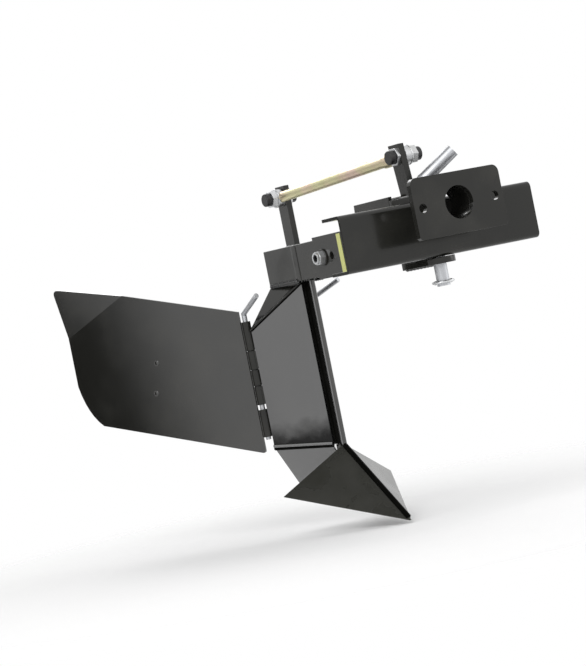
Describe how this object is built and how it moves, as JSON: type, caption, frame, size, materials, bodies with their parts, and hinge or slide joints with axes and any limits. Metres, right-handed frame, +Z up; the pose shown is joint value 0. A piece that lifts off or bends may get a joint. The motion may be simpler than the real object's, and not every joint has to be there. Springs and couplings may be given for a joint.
{
  "type": "walk behind ridger",
  "caption": "Ridger for a walk-behind tractor: V body with pointed share and hinged wings on a shank, pitch link, swinging drawbar and bolted hitch plate.",
  "frame": {"origin": "centre of the coupling hole on the front face of the coupling plate", "axes": "+X forward towards the tractor along the coupling hole, +Y to the left, +Z up along the hitch pin"},
  "size_m": [0.7296, 0.4222, 0.4675],
  "materials": {
    "black_paint": "glossy black paint",
    "bright_zinc": "bright zinc plate",
    "yellow_zinc": "yellow iridescent zinc plate",
    "black_cap": "plain black cap",
    "yellow_strip": "plain yellow strip, no lettering"
  },
  "bodies": {
    "hitch": {"coupling_plate": "black_paint", "coupling_socket": "black_paint", "hitch_channel": "black_paint"},
    "pin": {"hitch_pin": "bright_zinc", "linch_clip": "bright_zinc"},
    "drawbar": {"yoke_back": "black_paint", "yoke_upper": "black_paint", "yoke_lower": "black_paint", "yoke_gussets": "black_paint", "right_cheek": "black_paint", "left_cheek": "black_paint", "drawbar_core": "black_paint", "yellow_strip": "yellow_strip", "front_post": "black_paint", "front_stud": "bright_zinc", "front_nuts": "bright_zinc", "front_washer": "bright_zinc", "front_caps": "black_cap", "pivot_bolt": "bright_zinc", "pivot_nut": "bright_zinc", "pivot_washers": "black_paint"},
    "link_end": {"front_eye": "yellow_zinc"},
    "link": {"link_rod": "yellow_zinc"},
    "ridger": {"rear_post": "black_paint", "rear_stud": "bright_zinc", "rear_nuts": "bright_zinc", "rear_washer": "bright_zinc", "rear_caps": "black_cap", "shank_head": "black_paint", "shank": "black_paint", "right_panel": "black_paint", "left_panel": "black_paint", "right_top_flap": "black_paint", "left_top_flap": "black_paint", "right_low_flap": "black_paint", "left_low_flap": "black_paint", "right_share": "black_paint", "left_share": "black_paint", "share_bracket": "black_paint", "right_body_knuckles": "black_paint", "left_body_knuckles": "black_paint"},
    "right_wing_leaf": {"right_wing": "black_paint", "right_wing_knuckles": "black_paint"},
    "left_wing_leaf": {"left_wing": "black_paint", "left_wing_knuckles": "black_paint"},
    "right_pin": {"right_hinge_pin": "bright_zinc"},
    "left_pin": {"left_hinge_pin": "bright_zinc"}
  },
  "joints": [
    {"name": "drawbar_swing", "type": "hinge", "parent": "hitch", "child": "drawbar", "pos_m": [-0.067, 0, 0], "axis": [0, 0, 1], "range_deg": [-18, 18]},
    {"name": "hitch_pin_turn", "type": "hinge", "parent": "drawbar", "child": "pin", "pos_m": [-0.067, 0, 0], "axis": [0, 0, 1], "range_deg": [-80, 40]},
    {"name": "ridger_pitch", "type": "hinge", "parent": "drawbar", "child": "ridger", "pos_m": [-0.292, 0, -0.03], "axis": [0, 1, 0], "range_deg": [-6, 6]},
    {"name": "link_end_swing", "type": "hinge", "parent": "drawbar", "child": "link_end", "pos_m": [-0.098, 0, 0.0705], "axis": [0, 1, 0], "range_deg": [-8, 8]},
    {"name": "link_screw", "type": "slide", "parent": "link_end", "child": "link", "axis": [-0.9995, 0, -0.0329], "range_m": [-0.012, 0.012]},
    {"name": "right_wing_hinge", "type": "hinge", "parent": "ridger", "child": "right_wing_leaf", "pos_m": [-0.47925, -0.05202, 0], "axis": [0, 0, 1], "range_deg": [-25, 35]},
    {"name": "left_wing_hinge", "type": "hinge", "parent": "ridger", "child": "left_wing_leaf", "pos_m": [-0.47925, 0.05202, 0], "axis": [0, 0, -1], "range_deg": [-25, 35]},
    {"name": "right_pin_lift", "type": "slide", "parent": "ridger", "child": "right_pin", "axis": [0, 0, 1], "range_m": [0, 0.19]},
    {"name": "left_pin_lift", "type": "slide", "parent": "ridger", "child": "left_pin", "axis": [0, 0, 1], "range_m": [0, 0.19]}
  ],
  "couplings": [
    {"joint": "link_end_swing", "follows": "ridger_pitch", "ratio": 0.38193},
    {"joint": "link_screw", "follows": "ridger_pitch", "m_per_rad": -0.094013}
  ]
}
